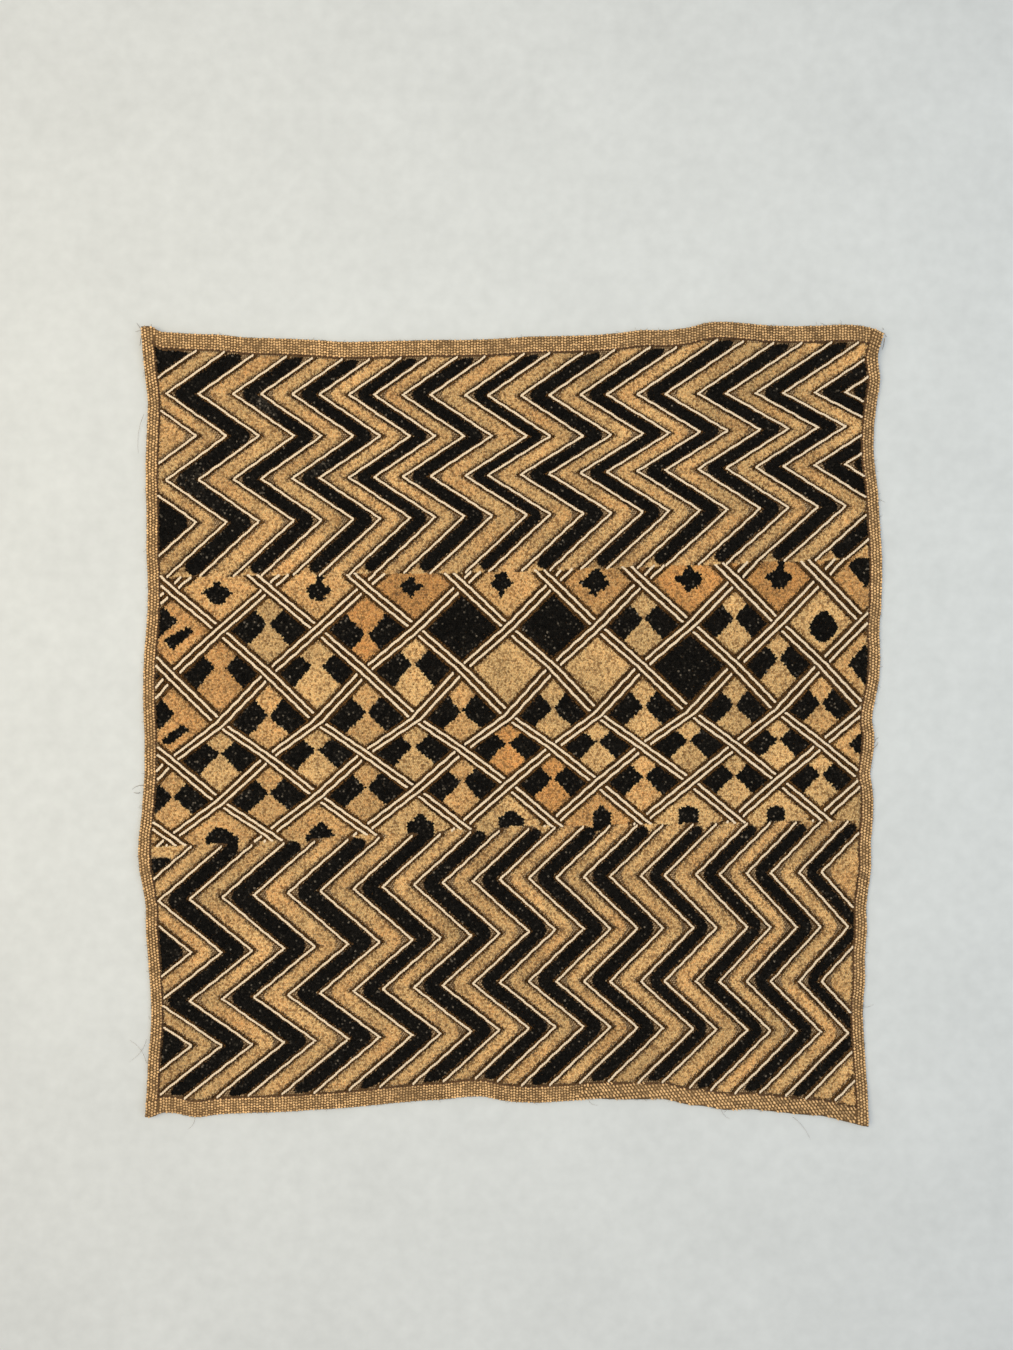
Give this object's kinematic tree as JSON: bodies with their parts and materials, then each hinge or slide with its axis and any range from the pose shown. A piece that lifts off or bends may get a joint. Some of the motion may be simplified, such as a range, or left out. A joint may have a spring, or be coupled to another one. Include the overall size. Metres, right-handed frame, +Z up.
{
  "type": "embroidered raffia cloth",
  "caption": "Flat rectangular cut-pile raffia panel with turned hems, chevron fields at both ends and a diamond lattice across the middle.",
  "frame": {"origin": "on the surface the cloth lies on, under the middle of its bounding box", "axes": "+X to the cloth's right, +Y to its top edge, +Z up out of its face"},
  "size_m": [0.5662, 0.6116, 0.0082],
  "materials": {
    "raffia": "matt plain-woven raffia with tan and black cut pile and cream and brown stitched lines"
  },
  "bodies": {
    "root": {"raffia_cloth": "raffia"}
  },
  "joints": []
}
